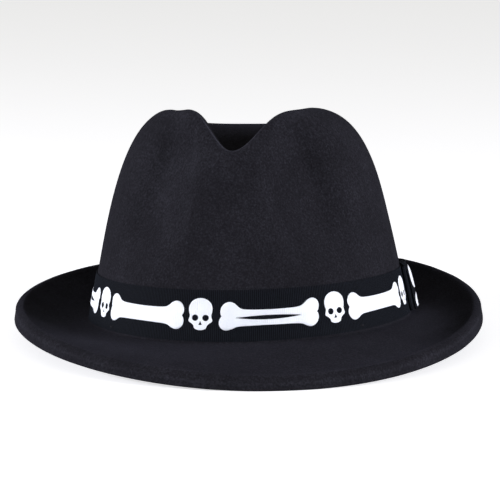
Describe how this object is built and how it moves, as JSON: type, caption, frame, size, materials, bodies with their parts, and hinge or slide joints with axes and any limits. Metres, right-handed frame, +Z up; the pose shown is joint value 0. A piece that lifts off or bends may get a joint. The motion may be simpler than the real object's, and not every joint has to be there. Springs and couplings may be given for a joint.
{
  "type": "felt trilby hat",
  "caption": "Black felt snap-brim hat with a dented, pinched crown, a ribbed band printed with skulls and bones, a flat side bow and a sweatband inside.",
  "frame": {"origin": "on the table under the middle of the hat's bounding box", "axes": "+Z up, -Y towards the front of the brim, +X towards the wearer's left, where the bow is"},
  "size_m": [0.25, 0.3018, 0.1262],
  "materials": {
    "black_felt": "matte wool felt with a short nap",
    "black_grosgrain": "ribbed ribbon with a low sheen",
    "white_print": "opaque matte screen print that follows the ribs",
    "black_sweatband": "matte woven tape",
    "clear_reed": "milky plastic",
    "black_thread": "twisted polyester",
    "black_satin": "satin",
    "white_label": "plain woven tape, blank"
  },
  "bodies": {
    "hat": {"felt_hood": "black_felt", "ribbon_band": "black_grosgrain", "skull_print_1": "white_print", "skull_print_2": "white_print", "skull_print_3": "white_print", "skull_print_4": "white_print", "skull_print_5": "white_print", "skull_print_6": "white_print", "skull_print_7": "white_print", "skull_print_8": "white_print", "plain_bone_print_1": "white_print", "plain_bone_print_2": "white_print", "plain_bone_print_3": "white_print", "plain_bone_print_4": "white_print", "slotted_bone_print_1": "white_print", "slotted_bone_print_2": "white_print", "slotted_bone_print_3": "white_print", "bow_front_loop": "black_grosgrain", "bow_rear_loop": "black_grosgrain", "bow_wrap": "black_grosgrain", "rear_loop_skull_print": "white_print", "wrap_skull_print": "white_print", "wrap_bone_print": "white_print", "band_tack_1": "black_thread", "band_tack_2": "black_thread", "band_tack_3": "black_thread", "band_tack_4": "black_thread", "sweatband": "black_sweatband", "sweatband_reed": "clear_reed", "sweatband_thread": "black_thread", "sweatband_bow": "black_satin", "size_label": "white_label", "care_label_thread": "black_thread"},
    "label_flap": {"care_label": "white_label"}
  },
  "joints": [
    {"name": "care_label_swing", "type": "hinge", "parent": "hat", "child": "label_flap", "pos_m": [-0.04924, 0.07192, 0.02629], "axis": [-0.7096, -0.7046, 0], "range_deg": [0, 110]}
  ]
}
